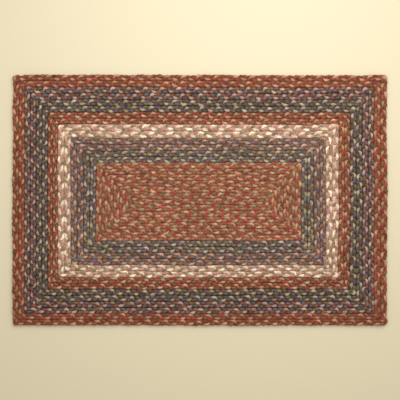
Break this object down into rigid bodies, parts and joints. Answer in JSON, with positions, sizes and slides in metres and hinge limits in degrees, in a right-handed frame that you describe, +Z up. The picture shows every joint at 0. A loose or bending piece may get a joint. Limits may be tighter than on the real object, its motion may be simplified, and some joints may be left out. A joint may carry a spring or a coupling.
{
  "type": "braided rug",
  "caption": "Flat rectangular braided jute rug: three-strand braid sewn in mitred rectangular turns round a straight centre row, in nested colour bands; rests flat on the floor.",
  "frame": {"origin": "on the floor, under the middle of the rug's outline", "axes": "+X along the rug's length, +Y along its width, +Z up through its thickness"},
  "size_m": [0.7636, 0.5108, 0.008],
  "materials": {
    "braid_field": "matt dyed jute yarn: brick red, olive brown and tan strands",
    "braid_sage": "matt dyed jute yarn: green-grey, pale green and plum-grey strands",
    "braid_slate": "matt dyed jute yarn: slate blue, pink-tan and brown strands",
    "braid_cream": "matt jute yarn: off-white, pink-tan and khaki strands",
    "braid_brick": "matt dyed jute yarn: brick red, brown and tan strands",
    "braid_moss": "matt dyed jute yarn: pale green, purple-grey and olive-grey strands",
    "braid_heather": "matt dyed jute yarn: pink, slate grey and maroon-brown strands",
    "braid_border": "matt dyed jute yarn: brick red, rust brown and tan strands"
  },
  "bodies": {
    "root": {"braid_field": "braid_field", "braid_sage": "braid_sage", "braid_slate": "braid_slate", "braid_cream": "braid_cream", "braid_brick": "braid_brick", "braid_moss": "braid_moss", "braid_heather": "braid_heather", "braid_border": "braid_border"}
  },
  "joints": []
}
